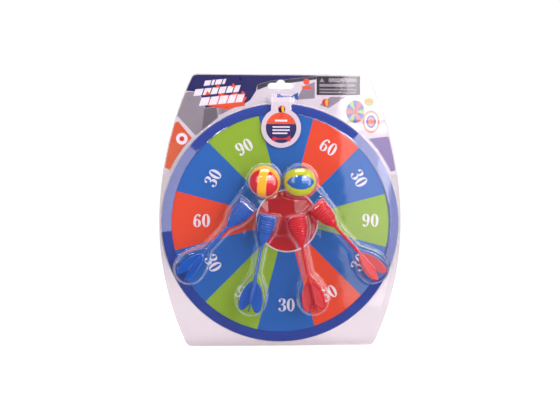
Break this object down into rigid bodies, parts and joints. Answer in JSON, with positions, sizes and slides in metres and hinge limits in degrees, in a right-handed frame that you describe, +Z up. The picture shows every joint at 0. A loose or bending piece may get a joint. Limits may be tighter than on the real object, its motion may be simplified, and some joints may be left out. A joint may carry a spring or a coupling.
{
  "type": "hook-and-loop dart game in a hanging pack",
  "caption": "Two-sided round hook-and-loop dartboard with ribbed darts and banded balls, held in a clear two-shell hanging pack with a printed header card.",
  "frame": {"origin": "centre of the peg slot, in the plane where the two clear shells meet", "axes": "+Z up as the pack hangs, -Y out of the front of the pack, +X to the right as seen from the front"},
  "size_m": [0.311, 0.0572, 0.349],
  "materials": {
    "clear_sheet": "clear glossy thermoformed sheet",
    "printed_card": null,
    "foam_core": "dense foam board",
    "wheel_fabric": "brushed loop fabric printed as a twelve-sector number wheel",
    "target_fabric": "brushed loop fabric printed as a ring target",
    "binding_fabric": "dark blue woven edge binding",
    "webbing": "dark blue woven tape",
    "hook_tape": "hook tape",
    "white_plastic": "moulded",
    "blue_plastic": "soft glossy moulding",
    "red_plastic": "soft glossy moulding",
    "ball_red": "smooth moulded shell",
    "ball_blue": "smooth moulded shell",
    "tape_yellow": "hook tape",
    "tape_green": "hook tape"
  },
  "bodies": {
    "back_shell": {"back_shell": "clear_sheet"},
    "front_shell": {"front_shell": "clear_sheet"},
    "header_card": {"header_card": "printed_card"},
    "board": {"board_core": "foam_core", "front_loop_face": "wheel_fabric", "rear_loop_face": "target_fabric", "rim_binding": "binding_fabric", "hanging_loop": "webbing"},
    "dart_1": {"dart_1_hook_pad": "hook_tape", "dart_1_nose_cap": "white_plastic", "dart_1_barrel": "blue_plastic", "dart_1_flight": "blue_plastic"},
    "dart_2": {"dart_2_hook_pad": "hook_tape", "dart_2_nose_cap": "white_plastic", "dart_2_barrel": "blue_plastic", "dart_2_flight": "blue_plastic"},
    "dart_3": {"dart_3_hook_pad": "hook_tape", "dart_3_nose_cap": "white_plastic", "dart_3_barrel": "red_plastic", "dart_3_flight": "red_plastic"},
    "dart_4": {"dart_4_hook_pad": "hook_tape", "dart_4_nose_cap": "white_plastic", "dart_4_barrel": "red_plastic", "dart_4_flight": "red_plastic"},
    "ball_1": {"ball_1_half_a": "ball_red", "ball_1_half_b": "ball_red", "ball_1_tape_loop": "tape_yellow", "ball_1_tape_halves": "tape_yellow"},
    "ball_2": {"ball_2_half_a": "ball_blue", "ball_2_half_b": "ball_blue", "ball_2_tape_loop": "tape_green", "ball_2_tape_halves": "tape_green"}
  },
  "joints": [
    {"name": "front_shell_off", "type": "slide", "parent": "back_shell", "child": "front_shell", "axis": [0, -1, 0], "range_m": [0, 0.2]},
    {"name": "header_card_off", "type": "slide", "parent": "back_shell", "child": "header_card", "axis": [0, -1, 0], "range_m": [0, 0.07]},
    {"name": "board_off", "type": "slide", "parent": "back_shell", "child": "board", "axis": [0, -1, 0], "range_m": [0, 0.04]},
    {"name": "dart_1_off", "type": "slide", "parent": "back_shell", "child": "dart_1", "axis": [0, -1, 0], "range_m": [0, 0.12]},
    {"name": "dart_2_off", "type": "slide", "parent": "back_shell", "child": "dart_2", "axis": [0, -1, 0], "range_m": [0, 0.12]},
    {"name": "dart_3_off", "type": "slide", "parent": "back_shell", "child": "dart_3", "axis": [0, -1, 0], "range_m": [0, 0.12]},
    {"name": "dart_4_off", "type": "slide", "parent": "back_shell", "child": "dart_4", "axis": [0, -1, 0], "range_m": [0, 0.12]},
    {"name": "ball_1_off", "type": "slide", "parent": "back_shell", "child": "ball_1", "axis": [0, -1, 0], "range_m": [0, 0.12]},
    {"name": "ball_2_off", "type": "slide", "parent": "back_shell", "child": "ball_2", "axis": [0, -1, 0], "range_m": [0, 0.12]}
  ],
  "couplings": [
    {"joint": "header_card_off", "follows": "front_shell_off", "ratio": 0.35},
    {"joint": "board_off", "follows": "front_shell_off", "ratio": 0.2},
    {"joint": "dart_1_off", "follows": "front_shell_off", "ratio": 0.6},
    {"joint": "dart_2_off", "follows": "front_shell_off", "ratio": 0.6},
    {"joint": "dart_3_off", "follows": "front_shell_off", "ratio": 0.6},
    {"joint": "dart_4_off", "follows": "front_shell_off", "ratio": 0.6},
    {"joint": "ball_1_off", "follows": "front_shell_off", "ratio": 0.6},
    {"joint": "ball_2_off", "follows": "front_shell_off", "ratio": 0.6}
  ]
}
